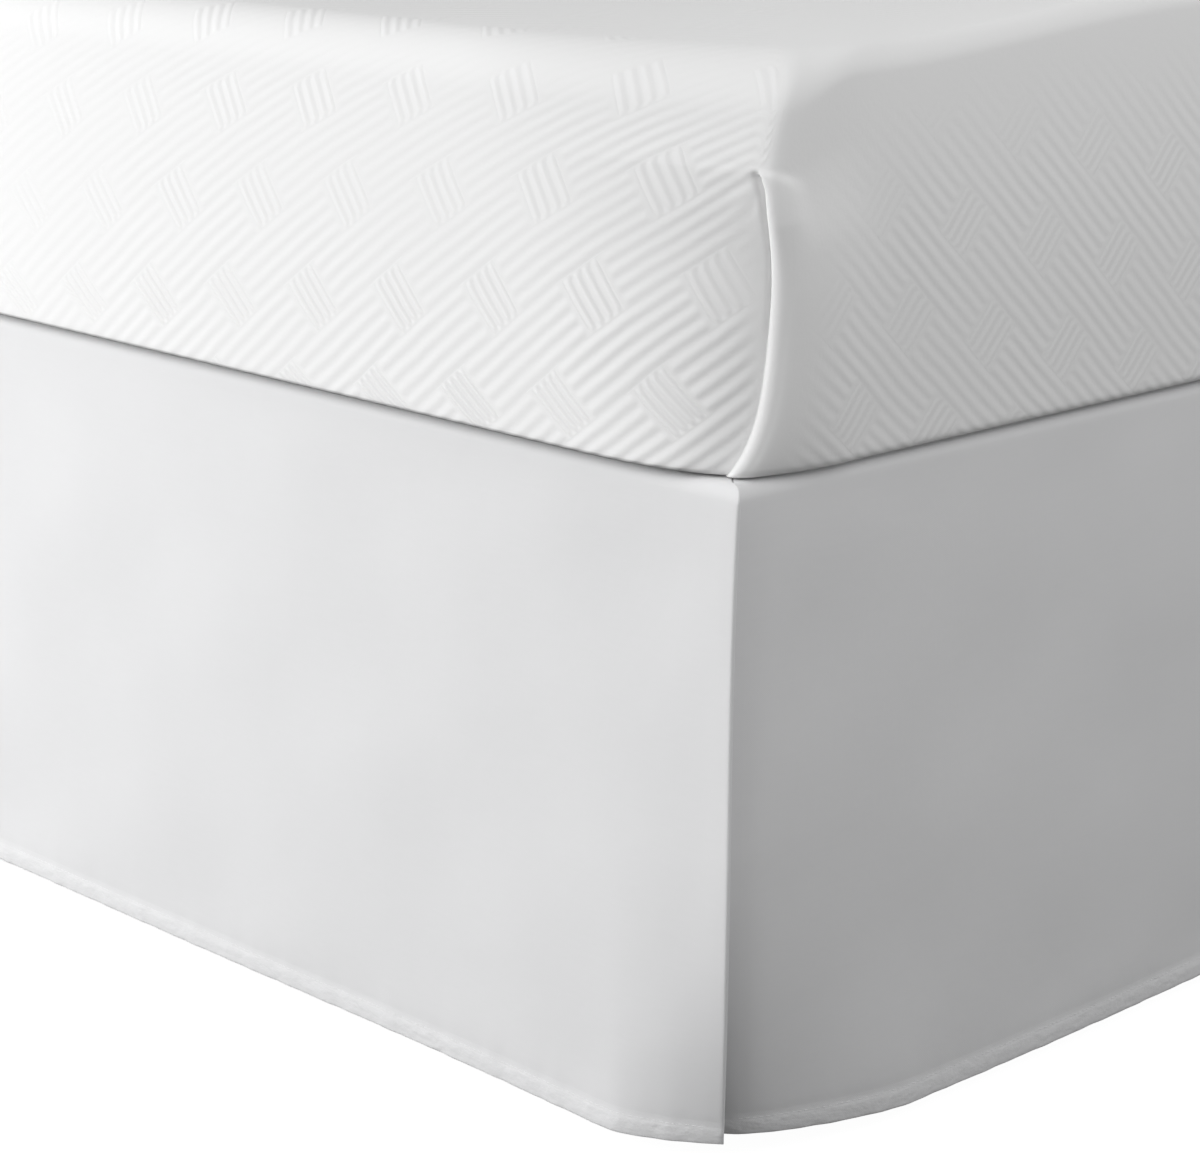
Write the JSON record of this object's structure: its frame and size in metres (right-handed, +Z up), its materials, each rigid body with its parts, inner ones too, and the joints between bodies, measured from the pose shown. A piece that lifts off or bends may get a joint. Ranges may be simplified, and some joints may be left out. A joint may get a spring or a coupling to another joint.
{
  "type": "bed skirt on a bed",
  "caption": "Tailored flat bed skirt with split foot corners, falling from a plain bed base to just above the floor, under a mattress with a tucked cover.",
  "frame": {"origin": "on the floor, under the middle of the bed", "axes": "+X across the bed to its right side seen from the foot, +Y from the foot towards the head, +Z up"},
  "size_m": [1.54, 2.048, 0.6213],
  "materials": {
    "skirt_cloth": "smooth plain-woven white microfibre, pressed flat",
    "mattress_cover": "white quilted cover in a basket pattern of narrow ribs",
    "base_cloth": "plain off-white ticking",
    "leg_wood": "satin clear-coated hardwood"
  },
  "bodies": {
    "root": {"drop_foot": "skirt_cloth", "drop_left": "skirt_cloth", "drop_right": "skirt_cloth", "deck": "skirt_cloth", "mattress": "mattress_cover", "bed_base": "base_cloth", "leg_foot_left": "leg_wood", "leg_foot_right": "leg_wood", "leg_middle_left": "leg_wood", "leg_middle_right": "leg_wood", "leg_head_left": "leg_wood", "leg_head_right": "leg_wood"}
  },
  "joints": []
}
